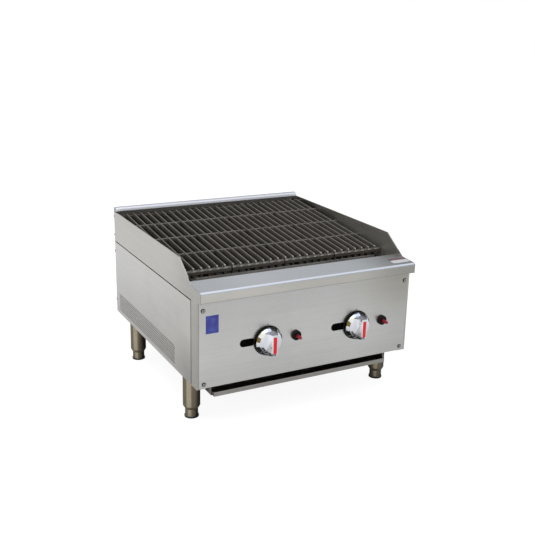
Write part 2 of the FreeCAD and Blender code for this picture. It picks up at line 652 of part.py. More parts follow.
# ================================================================ controls
def igniter_body(x):
    """Push igniter: bezel in front of the panel, threaded barrel and terminal behind it."""
    bore = BUTTON_R + RUN_CLEARANCE
    profile = [(bore, 15), (bore, 43), (10.4, 43), (12.7, 40.5), (12.7, 35), (9.0, 35), (9.0, 0),
               (2.0, 0), (2.0, -8), (0, -8), (0, 15)]
    return turned(profile, (x, PANEL_Y + 35, IGNITER_Z), (0, -1, 0))


def igniter_button(x):
    profile = [(0, 0), (BUTTON_R, 0), (BUTTON_R, 35.4), (BUTTON_R - 0.8, 37.4), (2.4, 38.2), (0, 38.6)]
    return turned(profile, (x, PANEL_Y + 12.4, IGNITER_Z), (0, -1, 0))


def knob_bezels():
    rings = []
    for x in KNOB_X:
        profile = [(7.0, 0), (BEZEL_R, 0), (BEZEL_R, 1.8), (BEZEL_R - 1, 2.8), (7.0, 2.8)]
        rings.append(turned(profile, (x, PANEL_Y, KNOB_Z), (0, -1, 0)))
    return Part.makeCompound(rings)


def knob(x):
    """Round skirt with a wedge grip across it, recessed for the pointer, bored for the stem."""
    rim = [(0, 0), (SKIRT_R, 0), (SKIRT_R, 6), (SKIRT_R - 1.5, 9), (30.0, 14.5), (0, 16.5)]
    skirt = turned(rim, (x, KNOB_BASE_Y, KNOB_Z), (0, -1, 0))
    front, root = KNOB_FRONT_Y, KNOB_BASE_Y - 9
    plan = [(x - 19, root), (x - 7.2, front), (x + 7.2, front), (x + 19, root)]
    wedge = prism("z", KNOB_Z - 40, KNOB_Z + 40, plan, [0, 1.5, 1.5, 0])
    side = [(root, KNOB_Z - 30), (front, KNOB_Z - 26.5), (front, KNOB_Z + 26.5), (root, KNOB_Z + 30)]
    grip = wedge.common(prism("x", x - 30, x + 30, side, [0, 1.2, 1.2, 0]))
    grip = grip.common(rod((x, root, KNOB_Z), (x, front, KNOB_Z), 31.5))
    width, height = (size + FIT_GAP / 3 for size in POINTER_HALF)
    across, up = (x - width, x + width), (KNOB_Z - height, KNOB_Z + height)
    recess = box(across, (front - 1, front + POINTER_DEPTH), up)
    bore = rod((x, KNOB_BASE_Y + 1, KNOB_Z), (x, front + 12, KNOB_Z), STEM_R)
    return skirt.fuse(grip).cut(recess.fuse(bore))


def knob_pointer(x):
    width, height = POINTER_HALF
    bar = [(x - width, KNOB_Z - height), (x + width, KNOB_Z - height),
           (x + width, KNOB_Z + height), (x - width, KNOB_Z + height)]
    return prism("y", KNOB_FRONT_Y, KNOB_FRONT_Y + POINTER_DEPTH, bar, [0.8] * 4)


def valve_stem(x):
    return rod((x, -252.0, KNOB_Z), (x, KNOB_FRONT_Y + 12, KNOB_Z), STEM_R)


# ================================================================ drip tray
def drip_tray():
    """Shallow pull-out tray; its front edge is folded out and down as a lip."""
    x, y0, y1 = TRAY_HALF, TRAY_FRONT_Y, TRAY_REAR_Y
    outer = box((-x, x), (y0, y1), (TRAY_FLOOR_Z, TRAY_RIM_Z))
    inner = box((-x + SHEET, x - SHEET), (y0 + SHEET, y1 - SHEET), (TRAY_FLOOR_Z + SHEET, TRAY_RIM_Z + 1))
    path = [(y0 - 3, TRAY_FLOOR_Z - 0.9), (y0 - 3, TRAY_RIM_Z), (y0 + SHEET, TRAY_RIM_Z)]
    return joined(outer.cut(inner), folded("x", -x, x, path, SHEET, [0.8]))


def left_tray_rail():
    """Channel hung under the base; the tray slides in it."""
    x = -TRAY_HALF - 3.5
    under = TRAY_FLOOR_Z - FIT_GAP - SKIN
    path = [(-240.0, under), (x, under), (x, BASE_Z), (-244.0, BASE_Z)]
    return folded("y", -268.0, 296.0, path, SKIN)


# ================================================================ build
def build():
    parts = {
        "left_side_guard": left_side_guard(),
        "left_side_panel": left_side_panel(),
        "left_base_rail": left_base_rail(),
        "firebox_left_wall": firebox_left_wall(),
        "left_tray_rail": left_tray_rail(),
    }
    for name in list(parts):
        parts[name.replace("left", "right")] = mirrored(parts[name])
    parts["back_panel"] = back_panel()
    parts["control_panel"] = control_panel()
    parts["front_ledge"] = front_ledge()
    parts["casing_screws"] = casing_screws()
    parts["front_base_rail"] = front_base_rail()
    parts["rear_base_rail"] = rear_base_rail()
    parts["firebox_front_wall"] = firebox_front_wall()
    parts["firebox_rear_wall"] = firebox_rear_wall()
    parts["front_grate_support"] = front_grate_support()
    parts["rear_grate_support"] = rear_grate_support()
    parts["manifold_pipe"] = manifold_pipe()
    parts["gas_supply_pipe"] = gas_supply_pipe()
    parts["main_orifices"] = main_orifices()
    parts["pilot_gas_tubes"] = pilot_gas_tubes()
    parts["spark_electrodes"] = spark_electrodes()
    parts["ignition_leads"] = ignition_leads()
    parts["knob_bezels"] = knob_bezels()
    parts["drip_tray"] = drip_tray()
    casting = grate_casting()
    for i in range(GRATE_COUNT):
        parts[f"grate_{i + 1}"] = casting.translated(Vector(i * GRATE_PITCH, 0, 0))
        parts[f"radiant_{i + 1}"] = radiant(BURNER_X[i])
    for i, side in enumerate(("left", "right")):
        parts[f"{side}_burner"] = burner(BURNER_X[2 * i], BURNER_X[2 * i + 1], KNOB_X[i])
        parts[f"{side}_gas_valve"] = gas_valve(KNOB_X[i])
        parts[f"{side}_pilot_burner"] = pilot_burner(PILOT_X[i], ELECTRODE_X[i])
        parts[f"{side}_igniter_body"] = igniter_body(IGNITER_X[i])
        parts[f"{side}_igniter_button"] = igniter_button(IGNITER_X[i])
        parts[f"{side}_knob"] = knob(KNOB_X[i])
        parts[f"{side}_knob_pointer"] = knob_pointer(KNOB_X[i])
        parts[f"{side}_valve_stem"] = valve_stem(KNOB_X[i])
        x = (-LEG_X, LEG_X)[i]
        for end, y in zip(("front", "rear"), LEG_Y):
            parts[f"{end}_{side}_leg"] = leg_barrel(x, y)
            parts[f"{end}_{side}_foot"] = foot(x, y)
    return parts


def main():
    os.makedirs("parts", exist_ok=True)
    for name, shape in build().items():
        solids = len(shape.Solids)
        print(f"{name}: {solids} solid(s), valid {shape.isValid()}, {shape.Volume / 1000:.1f} cm3")
        shape.exportStep(f"parts/{name}.step")


main()
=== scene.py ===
"""Looks of a countertop gas charbroiler: finishes, cast grates, controls, labels, studio and camera."""

import json
import logging
import math
from dataclasses import dataclass
from enum import Enum

import bmesh
import bpy
from mathutils import Matrix, Vector

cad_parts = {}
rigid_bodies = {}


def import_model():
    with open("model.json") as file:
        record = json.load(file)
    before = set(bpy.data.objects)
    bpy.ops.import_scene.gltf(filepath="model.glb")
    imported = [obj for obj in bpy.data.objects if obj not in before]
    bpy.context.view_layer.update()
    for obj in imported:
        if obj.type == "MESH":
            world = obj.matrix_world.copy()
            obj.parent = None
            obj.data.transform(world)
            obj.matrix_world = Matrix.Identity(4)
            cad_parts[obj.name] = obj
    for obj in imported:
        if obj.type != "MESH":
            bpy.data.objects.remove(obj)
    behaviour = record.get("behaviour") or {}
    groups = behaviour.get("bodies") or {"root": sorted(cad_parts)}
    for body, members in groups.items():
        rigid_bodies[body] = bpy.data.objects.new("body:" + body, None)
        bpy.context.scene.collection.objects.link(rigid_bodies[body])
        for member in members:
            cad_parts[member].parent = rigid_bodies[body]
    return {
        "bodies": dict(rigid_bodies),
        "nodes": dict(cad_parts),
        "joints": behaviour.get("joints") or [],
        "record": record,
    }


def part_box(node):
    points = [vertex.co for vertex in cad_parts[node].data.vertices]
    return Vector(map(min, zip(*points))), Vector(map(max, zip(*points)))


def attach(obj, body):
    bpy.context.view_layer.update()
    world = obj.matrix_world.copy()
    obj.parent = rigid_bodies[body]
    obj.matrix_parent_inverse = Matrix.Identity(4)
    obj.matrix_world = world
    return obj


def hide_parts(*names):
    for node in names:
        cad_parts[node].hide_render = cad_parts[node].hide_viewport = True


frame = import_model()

log = logging.getLogger("charbroiler")

MM = 0.001
Colour = tuple[float, float, float]
Triple = tuple[float, float, float]
FRONT: Triple = (0.0, -1.0, 0.0)
LEFT: Triple = (-1.0, 0.0, 0.0)
UP: Triple = (0.0, 0.0, 1.0)
BLACK: Colour = (0.0, 0.0, 0.0)


def node_middle(node: str) -> Vector:
    """Returns the middle of a CAD node's box."""
    low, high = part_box(node)
    return (low + high) / 2


def grey(value: float) -> Colour:
    """Returns a neutral colour."""
    return value, value, value


# ---------------------------------------------------------------- shader maths
class Link:
    """A shader value that adds its maths nodes when it is used in an expression."""

    def __init__(self, nodes: "Nodes", socket: bpy.types.NodeSocket) -> None:
        """Wraps a node's output socket.

        Args:
            nodes: The node tree that the socket belongs to.
            socket: The output socket.
        """
        self.nodes = nodes
        self.socket = socket

    def other(self, name: str) -> "Link":
        """Returns another output of the same node."""
        return Link(self.nodes, self.socket.node.outputs[name])

    def maths(self, operation: str, *values: "Link | float") -> "Link":
        """Adds one Math node.

        Args:
            operation: The Math node's operation.
            values: What goes into its sockets, in order.

        Returns:
            The node's result.
        """
        return self.nodes.node("ShaderNodeMath", {"operation": operation}, dict(enumerate(values)), "Value")

    def __add__(self, value: "Link | float") -> "Link":
        """Returns self + value."""
        return self.maths("ADD", self, value)

    def __radd__(self, value: float) -> "Link":
        """Returns value + self."""
        return self.maths("ADD", value, self)

    def __sub__(self, value: "Link | float") -> "Link":
        """Returns self - value."""
        return self.maths("SUBTRACT", self, value)

    def __rsub__(self, value: float) -> "Link":
        """Returns value - self."""
        return self.maths("SUBTRACT", value, self)

    def __mul__(self, value: "Link | float") -> "Link":
        """Returns self * value."""
        return self.maths("MULTIPLY", self, value)

    def __rmul__(self, value: float) -> "Link":
        """Returns value * self."""
        return self.maths("MULTIPLY", value, self)

    def __pow__(self, value: float) -> "Link":
        """Returns self ** value."""
        return self.maths("POWER", self, value)

    def sign(self) -> "Link":
        """Returns -1 or 1, by the side of zero."""
        return self.maths("SIGN", self)

    def fraction(self) -> "Link":
        """Returns what is left above the whole number."""
        return self.maths("FRACT", self)

    def turn(self, across: "Link") -> "Link":
        """Returns the angle, in radians, of a direction with this rise and the given run."""
        return self.maths("ARCTAN2", self, across)

    def held(self) -> "Link":
        """Returns the value kept between 0 and 1."""
        return self.maths("MINIMUM", self.maths("MAXIMUM", self, 0.0), 1.0)

    def between(self, low: float, high: float) -> "Link":
        """Ramps smoothly from 0 to 1.

        Args:
            low: Where the ramp leaves 0.
            high: Where it reaches 1.

        Returns:
            The ramped value.
        """
        return self.nodes.node(
            "ShaderNodeMapRange",
            {"interpolation_type": "SMOOTHSTEP"},
            {"Value": self, "From Min": low, "From Max": high},
            "Result",
        )


class Nodes:
    """A node tree and the ways to add to it."""

    def __init__(self, tree: bpy.types.NodeTree) -> None:
        """Takes the tree in hand.

        Args:
            tree: The node tree of a material or of the world.
        """
        self.tree = tree

    def node(self, kind: str, settings: dict, inputs: dict, output: str) -> Link:
        """Adds one node.

        Args:
            kind: The node's type name.
            settings: Its settings by name, set before anything is linked.
            inputs: Values or links by socket name or number.
            output: The output that is wanted.

        Returns:
            That output.
        """
        made = self.tree.nodes.new(kind)
        for name, value in settings.items():
            setattr(made, name, value)
        for name, value in inputs.items():
            self._feed(made.inputs[name], value)
        return Link(self, made.outputs[output])

    def _feed(self, socket: bpy.types.NodeSocket, value: "Link | float | tuple") -> None:
        """Links or sets one input socket."""
        if isinstance(value, Link):
            self.tree.links.new(value.socket, socket)
        elif isinstance(value, tuple) and len(socket.default_value) > len(value):
            socket.default_value = (*value, 1.0)
        else:
            socket.default_value = value

    def among(self, way: Link, toward: Triple) -> Link:
        """Returns how far a direction points toward another, as the product of the two.

        Args:
            way: A direction.
            toward: The direction it is measured against.

        Returns:
            The product, 1 where they agree.
        """
        return self.node("ShaderNodeVectorMath", {"operation": "DOT_PRODUCT"}, {0: way, 1: toward}, "Value")

    def place(self) -> Link:
        """Returns the point on the piece, in metres in the object's own frame."""
        return self.node("ShaderNodeTexCoord", {}, {}, "Object")

    def stretched(self, scale: Triple) -> Link:
        """Returns the point on the piece with each axis scaled."""
        inputs = {0: self.place(), 1: scale}
        return self.node("ShaderNodeVectorMath", {"operation": "MULTIPLY"}, inputs, "Vector")

    def axis(self, name: str) -> Link:
        """Returns one coordinate, X, Y or Z, of the point on the piece."""
        return self.node("ShaderNodeSeparateXYZ", {}, {0: self.place()}, name)

    def normal(self) -> Link:
        """Returns the surface's outward direction."""
        return self.node("ShaderNodeNewGeometry", {}, {}, "Normal")

    def facing(self, name: str) -> Link:
        """Returns one component, X, Y or Z, of the surface's outward direction."""
        return self.node("ShaderNodeSeparateXYZ", {}, {0: self.normal()}, name)

    def noise(self, place: Link, scale: float, detail: float = 2.0, roughness: float = 0.5) -> Link:
        """Adds a noise texture.

        Args:
            place: The point to read it at.
            scale: How many cells there are in a unit.
            detail: How many finer layers are added.
            roughness: How strong the finer layers are.

        Returns:
            A value around 0.5.
        """
        inputs = {"Vector": place, "Scale": scale, "Detail": detail, "Roughness": roughness}
        return self.node("ShaderNodeTexNoise", {}, inputs, "Fac")

    def grains(self, place: Link, scale: float) -> Link:
        """Returns the distance to the nearest of scattered points, for pores and cast grain."""
        return self.node("ShaderNodeTexVoronoi", {}, {"Vector": place, "Scale": scale}, "Distance")

    def mix(self, share: "Link | float", first: "Link | Colour", second: "Link | Colour") -> Link:
        """Mixes two colours.

        Args:
            share: 0 for the first, 1 for the second.
            first: A colour.
            second: Another colour.

        Returns:
            The mixed colour.
        """
        made = self.tree.nodes.new("ShaderNodeMix")
        made.data_type = "RGBA"
        for name, value in (("Factor_Float", share), ("A_Color", first), ("B_Color", second)):
            self._feed(next(s for s in made.inputs if s.identifier == name), value)
        return Link(self, next(s for s in made.outputs if s.identifier == "Result_Color"))

    def bump(self, height: Link, depth: float, below: Link | None = None) -> Link:
        """Turns a height into a surface direction.

        Args:
            height: The height, 0 to 1.
            depth: What a height of 1 stands for, in metres.
            below: A bumped direction to add to.

        Returns:
            The direction, for the Normal socket.
        """
        inputs = {"Height": height, "Distance": depth}
        if below:
            inputs["Normal"] = below
        return self.node("ShaderNodeBump", {}, inputs, "Normal")


class Shading(Nodes):
    """The node tree of one material, with its Principled shader."""

    def __init__(self, name: str) -> None:
        """Makes an empty material with a Principled shader.

        Args:
            name: The material's name.
        """
        self.material = bpy.data.materials.new(name)
        self.material.use_nodes = True
        super().__init__(self.material.node_tree)
        self.principled = next(n for n in self.tree.nodes if n.type == "BSDF_PRINCIPLED")

    def surface(self, **inputs: "Link | float | Colour") -> bpy.types.Material:
        """Feeds the Principled shader.

        Args:
            inputs: Values or links by socket name, with _ for a space.

        Returns:
            The finished material.
        """
        for name, value in inputs.items():
            self._feed(self.principled.inputs[name.replace("_", " ")], value)
        return self.material


# ---------------------------------------------------------------- finishes
class Grain(Enum):
    """Which way a sheet was brushed, as the number of that axis."""

    WIDTH = 0
    DEPTH = 1

    def stretch(self, across: float, along: float) -> Triple:
        """Returns the scale of each axis for lines that run along this grain."""
        return tuple(along if i == self.value else across for i in range(3))


@dataclass(frozen=True)
class PaintedFall:
    """A painted reflection: a slow change of a sheet's colour along one axis, darker or brighter where it
    mirrors another side of the room.

    Attributes:
        axis: The axis that it runs along.
        start: Where along it the change begins.
        end: Where the change is complete.
        loss: How much of the sheet's own colour is then lost.
        toward: The way that a face has to look to be changed.
        beside: Another axis, and where along it the change fades in.
        shade: The painted colour that takes over.
        dull: How much of the metal's mirror goes with it.
    """

    axis: str
    start: float
    end: float
    loss: float
    toward: Triple | None = None
    beside: tuple[str, float, float] | None = None
    shade: Colour = BLACK
    dull: float = 0.0

    def share(self, s: Shading) -> Link:
        """Returns how strong the change is at a point.

        Args:
            s: The material it is for.

        Returns:
            A share from 0 to the full loss, kept to faces that look toward the given way and to the
            given stretch of another axis.
        """
        # painted reflection or shade, ramped in along the axis
        strength = s.axis(self.axis).between(self.start, self.end) * self.loss
        if self.toward:
            strength = strength * s.among(s.normal(), self.toward).between(0.5, 0.9)
        if self.beside:
            name, start, end = self.beside
            strength = strength * s.axis(name).between(start, end)
        return strength


@dataclass(frozen=True)
class BrushedSteel:
    """Stainless sheet with a satin grain, and any painted reflections, shade and highlight it is given.

    Attributes:
        colour: Its colour.
        grain: Which way it was brushed.
        roughness: Its middle roughness.
        cloud: How far the colour wanders to either side.
        painted_falls: Painted reflections and shade, as slow changes of the colour over the sheet.
        upper: A painted reflection of the sky on the faces that look up, if there is one.
        glint: The colour of a painted highlight on a rounded front nose, if it has one.
        lines: Fine brush lines in a metre, across and along the grain.
        bands: Broader bands in a metre, across and along the grain.
    """

    colour: Colour
    grain: Grain = Grain.WIDTH
    roughness: float = 0.30
    cloud: float = 0.10
    painted_falls: tuple[PaintedFall, ...] = ()
    upper: Colour | None = None
    glint: Colour | None = None
    lines: tuple[float, float] = (1500.0, 14.0)
    bands: tuple[float, float] = (120.0, 3.0)

    def make(self, name: str) -> bpy.types.Material:
        """Returns the material under the given name."""
        s = Shading(name)
        lines = s.noise(s.stretched(self.grain.stretch(*self.lines)), scale=1.0, detail=2.0)
        bands = s.noise(s.stretched(self.grain.stretch(*self.bands)), scale=1.0, detail=3.0)
        smudges = s.noise(s.place(), scale=7.0, detail=4.0, roughness=0.6)
        sheet = self._clouded(s, (lines * 0.3 + bands * 0.3 + smudges * 0.4).held())
        metallic: Link | float = 1.0
        # painted reflections and shade: each fall turns part of the sheet toward its painted colour and dulls
        # its mirror there
        for fall in self.painted_falls:
            share = fall.share(s)
            sheet = s.mix(share, sheet, fall.shade)
            if fall.dull:
                metallic = (metallic - share * fall.dull).held()
        if self.glint:
            # painted highlight along the rounded front nose
            nose = s.facing("Z").between(0.02, 0.25) * s.facing("Y").between(-0.08, -0.25)
            sheet = s.mix(nose, sheet, self.glint)
        return s.surface(
            Base_Color=sheet,
            Metallic=metallic,
            Roughness=(lines - 0.5) * 0.10 + (smudges - 0.5) * 0.12 + self.roughness,
            Normal=s.bump(lines, 0.012 * MM),
        )

    def _clouded(self, s: Shading, tone: Link) -> Link:
        """Returns the sheet's colour with its cloudiness, and the painted sky reflection on faces that look
        up.
        """
        dark = tuple(c * (1 - 2 * self.cloud) for c in self.colour)
        light = tuple(min(1.0, c * (1 + 2 * self.cloud)) for c in self.colour)
        sheet = s.mix(tone, dark, light)
        if self.upper:
            # painted sky reflection on the faces that look up
            sheet = s.mix(s.facing("Z").between(0.5, 0.9), sheet, self.upper)
        return sheet


@dataclass(frozen=True)
class HeatedSteel:
    """Steel sheet browned and sooted by the burners.

    Attributes:
        clean: The colour where it is clean.
        burnt: The colour of the soot.
        soot: How much of it is sooted.
    """

    clean: Colour
    burnt: Colour
    soot: float = 0.5

    def make(self, name: str) -> bpy.types.Material:
        """Returns the material under the given name."""
        s = Shading(name)
        clouds = s.noise(s.place(), scale=14.0, detail=5.0, roughness=0.65)
        flakes = s.noise(s.place(), scale=240.0, detail=3.0)
        share = ((clouds - 0.5) * 1.6 + self.soot).held()
        return s.surface(
            Base_Color=s.mix(share, self.clean, self.burnt),
            Metallic=(1.0 - share * 0.8).held(),
            Roughness=flakes * 0.2 + 0.45,
            Normal=s.bump(flakes, 0.06 * MM),
        )


@dataclass(frozen=True)
class CastIron:
    """Sand-cast iron, seasoned: grainy, brown-black, with painted shade deep between the ribs, and paler
    along its upper edges from wear and a painted highlight.

    Attributes:
        pit: The darkest grains.
        face: The palest grains.
        recess_shade: The painted shade that the faces deep between the ribs darken to.
        wear_and_highlight: The tops of the ribs, paler from wear and a painted highlight.
        nose_highlight: A painted highlight on the ribs' rounded front noses.
        ribs: How many ribs a grate has.
        half_rib: From a grate's side to the middle of its first rib.
        slope: How steeply the ribs rise to the rear.
        crown: The height of their tops at the middle of the frame.
        front: The front faces lie before this.
    """

    pit: Colour = (0.020, 0.017, 0.013)
    face: Colour = (0.150, 0.134, 0.112)
    recess_shade: Colour = (0.004, 0.0035, 0.003)
    wear_and_highlight: Colour = (0.125, 0.112, 0.096)
    nose_highlight: Colour = (0.40, 0.38, 0.35)
    ribs: int = 7
    half_rib: float = 3.3 * MM
    slope: float = math.tan(math.radians(5.5))
    crown: float = 388.5 * MM
    front: float = -150.0 * MM

    def make(self, name: str) -> bpy.types.Material:
        """Returns the material under the given name, with less painted highlight on the bars between the
        ribs.
        """
        s = Shading(name)
        sand = s.grains(s.place(), scale=900.0)
        lumps = s.noise(s.place(), scale=260.0, detail=4.0, roughness=0.6)
        patches = s.noise(s.place(), scale=22.0, detail=3.0)
        off_rib = self._off_rib(s)
        body = s.mix((lumps * 0.6 + patches * 0.6 - 0.1).held(), self.pit, self.face)
        # painted shade deep between the ribs
        body = s.mix(self._deep(s) * 0.85, body, self.recess_shade)
        # paler rib tops: partly wear, partly a painted highlight from the light above
        top = s.facing("Z").between(0.80, 0.99) * (1.0 - off_rib * 0.85)
        body = s.mix((top * (patches * 0.8 + 0.25)).held(), body, self.wear_and_highlight)
        # painted highlight on the ribs' rounded front noses
        nose = s.facing("Y").between(-0.25, -0.75) * s.facing("Z").between(0.35, 0.65)
        return s.surface(
            Base_Color=s.mix(nose * (0.85 - off_rib * 0.75), body, self.nose_highlight),
            Metallic=0.25,
            Roughness=lumps * 0.25 + 0.42,
            Normal=s.bump(sand, 0.12 * MM, s.bump(lumps, 0.35 * MM)),
        )

    def _off_rib(self, s: Shading) -> Link:
        """Returns 0 on a rib and 1 well to its side."""
        first, second = (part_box(f"grate_{i}")[0].x for i in (1, 2))
        ribs_along = (s.axis("X") - (first + self.half_rib)) * (self.ribs / (second - first))
        aside = (ribs_along + 0.5).fraction() - 0.5
        return (aside * aside).between(0.020, 0.045)

    def _deep(self, s: Shading) -> Link:
        """Returns where the painted shade lies: 1 deep below the tops of the ribs, but 0 on the castings'
        front faces.
        """
        depth = s.axis("Y") * self.slope + self.crown - s.axis("Z")
        in_front = s.facing("Y").between(-0.5, -0.9) * s.axis("Y").between(self.front + 5 * MM, self.front)
        return depth.between(2 * MM, 18 * MM) * (1.0 - in_front)


@dataclass(frozen=True)
class PlatedMetal:
    """Plated or drawn metal with a faint wave and handling marks."""

    colour: Colour
    roughness: float
    marks: float = 0.05

    def make(self, name: str) -> bpy.types.Material:
        """Returns the material under the given name."""
        s = Shading(name)
        film = s.noise(s.place(), scale=60.0, detail=4.0, roughness=0.6)
        fine = s.noise(s.place(), scale=900.0, detail=2.0)
        dark = tuple(c * 0.86 for c in self.colour)
        return s.surface(
            Base_Color=s.mix(film, dark, self.colour),
            Metallic=1.0,
            Roughness=(film * self.marks + fine * self.marks + self.roughness).held(),
            Normal=s.bump(fine, 0.006 * MM),
        )


@dataclass(frozen=True)
class ScrewSteel:
    """Screw heads: bright across the top, with painted shade round the rim and in the recess.

    Attributes:
        crown: The colour across the top.
        rim: The colour of the painted shade.
        recess: How far the front screws' recess floor lies from the frame's middle.
        proud: How far their tops lie from it at least.
    """

    crown: Colour = (0.44, 0.43, 0.40)
    rim: Colour = (0.055, 0.045, 0.035)
    recess: float = 299.0 * MM
    proud: float = 299.3 * MM

    def make(self, name: str) -> bpy.types.Material:
        """Returns the material under the given name."""
        s = Shading(name)
        grime = s.noise(s.place(), scale=700.0, detail=3.0)
        # painted shade: only level faces standing out of the recess keep the crown colour
        level = (s.facing("Y") * s.facing("Y")).between(0.80, 0.97)
        above = (s.axis("Y") * s.axis("Y")).between(self.recess * self.recess, self.proud * self.proud)
        return s.surface(
            Base_Color=s.mix((level * above * (grime * 0.5 + 0.75)).held(), self.rim, self.crown),
            Metallic=1.0,
            Roughness=grime * 0.2 + 0.25,
            Normal=s.bump(grime, 0.01 * MM),
        )


@dataclass(frozen=True)
class LegNickel:
    """Satin nickel on a round leg: a painted highlight stripe down the lit side, and painted shade toward
    both edges.

    Attributes:
        colour: The metal's colour, darkened as painted shade near the floor.
        bright: The colour of the painted highlight stripe.
        edge: The painted shade that both sides darken to.
        lit: The way that the stripe looks.
        shaded: The way that the darker side looks.
        rings: Turning marks in a metre, round the leg and up it.
    """

    colour: Colour = (0.215, 0.182, 0.128)
    bright: Colour = (0.56, 0.49, 0.35)
    edge: Colour = (0.02, 0.018, 0.014)
    lit: Triple = (-0.66, -0.75, 0.0)
    shaded: Triple = (0.882, -0.471, 0.0)
    rings: Triple = (30.0, 30.0, 2600.0)

    def make(self, name: str) -> bpy.types.Material:
        """Returns the material under the given name."""
        s = Shading(name)
        rings = s.noise(s.stretched(self.rings), scale=1.0, detail=2.0)
        film = s.noise(s.place(), scale=70.0, detail=4.0, roughness=0.6)
        # painted highlight stripe down the side that faces the light
        stripe = s.among(s.normal(), self.lit).between(0.93, 0.985) * (film * 0.6 + 0.5)
        right = s.among(s.normal(), self.shaded)
        # painted shade toward both edges, strongest on the side away from the light
        edges = (right.between(0.45, 0.95) + right.between(-0.80, -0.98) * 0.7).held()
        metal = s.mix(stripe.held(), self.colour, self.bright)
        return s.surface(
            Base_Color=s.mix(edges * 0.85, metal, self.edge),
            Metallic=1.0,
            Roughness=rings * 0.12 + film * 0.10 + 0.26,
            Normal=s.bump(rings, 0.010 * MM),
        )


@dataclass(frozen=True)
class BrightChrome:
    """Mirror chrome of the two knobs, with painted reflections of the dark and warm things round the room in
    patches, and painted shade.

    A patch is a span of turns round the skirt, in radians from its right side, upward positive.

    Attributes:
        colour: The chrome itself.
        cool: The painted bluish reflection patch at the upper left.
        warm: The painted reflection patch beside it.
        gold: The painted brownish reflection patch at the left.
        shadow: The painted shade on the faces inside the skirt that look up.
        deep: The colour of the painted dark reflection patches and of the painted shade on the dark back
            edge.
        dark_patches: Where the dark patches lie.
        cool_patch: Where the cool one lies.
        warm_patch: Where the warm one lies.
        gold_patch: Where the brownish one lies.
    """

    colour: Colour = (0.82, 0.83, 0.86)
    cool: Colour = (0.70, 0.79, 0.98)
    warm: Colour = (0.88, 0.86, 0.70)
    gold: Colour = (0.20, 0.145, 0.045)
    shadow: Colour = (0.50, 0.50, 0.58)
    deep: Colour = (0.022, 0.021, 0.019)
    dark_patches: tuple[tuple[float, float], ...] = ((1.02, 1.52), (-2.90, -2.48), (-2.32, -1.62))
    cool_patch: tuple[float, float] = (1.65, 2.10)
    warm_patch: tuple[float, float] = (2.20, 2.50)
    gold_patch: tuple[float, float] = (2.66, 2.98)

    def make(self, name: str) -> bpy.types.Material:
        """Returns the material under the given name."""
        s = Shading(name)
        film = s.noise(s.place(), scale=120.0, detail=3.0)
        streaks = s.noise(s.place(), scale=420.0, detail=2.0)
        across, rise, away = self._from_axis(s)
        skirt = away.between(29.5 * MM, 30.5 * MM)
        turn = s.facing("Z").turn(s.facing("X")) + (film - 0.5) * 0.2

        def patch(span: tuple[float, float], soft: float = 0.06) -> Link:
            """Returns 1 on the skirt within a span of turns."""
            low, high = span
            return turn.between(low - soft, low) * turn.between(high + soft, high) * skirt

        # the painted streaky dark reflection at the lower left of the cap's edge
        lower = rise.between(-6 * MM, -11 * MM) * across.between(5 * MM, 1 * MM)
        dark = lower * away.between(20 * MM, 23 * MM) * streaks.between(0.30, 0.50)
        # painted dark reflections in patches round the skirt
        for span in self.dark_patches:
            dark = dark + patch(span)
        # painted shade along the dark back edge
        rim = s.facing("Y").between(-0.36, -0.28) * away.between(32.5 * MM, 33.5 * MM)
        # painted reflections: cool, warm and brownish patches round the skirt
        plate = s.mix(patch(self.cool_patch, 0.15), self.colour, self.cool)
        plate = s.mix(patch(self.warm_patch, 0.10), plate, self.warm)
        plate = s.mix(patch(self.gold_patch), plate, self.gold)
        # painted shade on the faces inside the skirt that look up
        plate = s.mix(s.facing("Z").between(0.75, 0.92) * (1.0 - skirt), plate, self.shadow)
        return s.surface(
            Base_Color=s.mix((dark * 0.95 + rim).held(), plate, self.deep),
            Metallic=1.0,
            Roughness=film * 0.04 + 0.05,
            Normal=s.bump(film, 0.01 * MM),
        )

    def _from_axis(self, s: Shading) -> tuple[Link, Link, Link]:
        """Returns how far a point lies to the right of its own knob's axis, above it and away from it."""
        left, right = node_middle("left_knob"), node_middle("right_knob")
        aside = s.axis("X") - (left.x + right.x) / 2
        across = aside - aside.sign() * ((right.x - left.x) / 2)
        rise = s.axis("Z") - left.z
        return across, rise, (across * across + rise * rise) ** 0.5


@dataclass(frozen=True)
class TurnedMetal:
    """Bar stock turned on a lathe, with fine rings round its upright axis."""

    colour: Colour
    roughness: float
    rings: Triple = (30.0, 30.0, 2600.0)

    def make(self, name: str) -> bpy.types.Material:
        """Returns the material under the given name."""
        s = Shading(name)
        rings = s.noise(s.stretched(self.rings), scale=1.0, detail=2.0)
        film = s.noise(s.place(), scale=35.0, detail=4.0, roughness=0.6)
        dark = tuple(c * 0.80 for c in self.colour)
        return s.surface(
            Base_Color=s.mix((film * 0.7 + rings * 0.3).held(), dark, self.colour),
            Metallic=1.0,
            Roughness=rings * 0.12 + film * 0.10 + self.roughness,
            Normal=s.bump(rings, 0.010 * MM),
        )


@dataclass(frozen=True)
class MouldedPlastic:
    """Moulded plastic or rubber with a fine spark-eroded texture.

    Attributes:
        colour: Its colour.
        roughness: Its least roughness.
        coat: How strong a clear gloss over it is.
        shine: How strongly it mirrors.
    """

    colour: Colour
    roughness: float
    coat: float = 0.0
    shine: float = 0.5

    def make(self, name: str) -> bpy.types.Material:
        """Returns the material under the given name."""
        s = Shading(name)
        skin = s.noise(s.place(), scale=1400.0, detail=2.0)
        haze = s.noise(s.place(), scale=80.0, detail=3.0)
        dark = tuple(c * 0.8 for c in self.colour)
        return s.surface(
            Base_Color=s.mix(haze, dark, self.colour),
            Roughness=skin * 0.08 + haze * 0.08 + self.roughness,
            Specular_IOR_Level=self.shine,
            Coat_Weight=self.coat,
            Normal=s.bump(skin, 0.02 * MM),
        )


